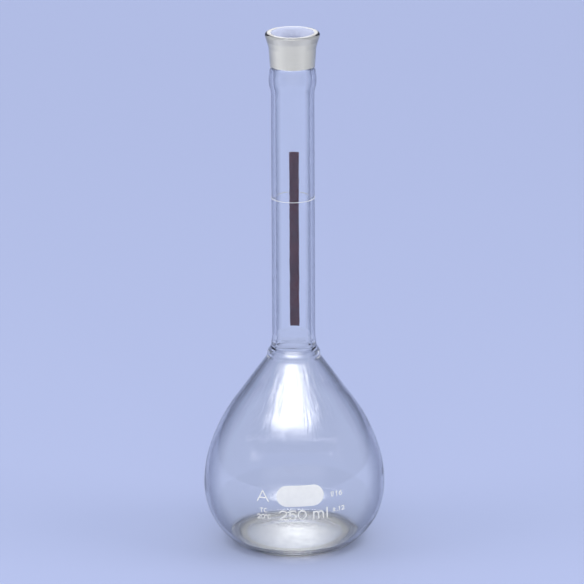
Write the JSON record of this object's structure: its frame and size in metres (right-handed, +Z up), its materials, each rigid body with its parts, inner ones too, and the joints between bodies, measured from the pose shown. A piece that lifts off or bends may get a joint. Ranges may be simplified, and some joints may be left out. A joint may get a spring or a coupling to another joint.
{
  "type": "volumetric flask",
  "caption": "Clear borosilicate volumetric flask: pear-shaped bulb on a flat base, long slim neck with a calibration ring, and an open ground-taper socket with a flared lip.",
  "frame": {"origin": "centre of the base, on the surface that the flask stands on", "axes": "+Z up along the flask's axis, the printed side of the bulb faces -Y, +X to the right of the print"},
  "size_m": [0.0788, 0.0789, 0.2288],
  "materials": {
    "clear_glass": "clear fire-polished borosilicate, ground matt inside the socket's taper",
    "white_enamel": "fired white enamel, satin",
    "stripe_enamel": "fired dark red-brown enamel, satin"
  },
  "bodies": {
    "root": {"bulb": "clear_glass", "neck_tube": "clear_glass", "stopper_socket": "clear_glass", "calibration_ring": "white_enamel", "marking_patch": "white_enamel", "capacity_mark": "white_enamel", "class_mark": "white_enamel", "temperature_mark": "white_enamel", "tolerance_mark": "white_enamel", "socket_size_mark": "white_enamel", "sight_stripe": "stripe_enamel"}
  },
  "joints": []
}
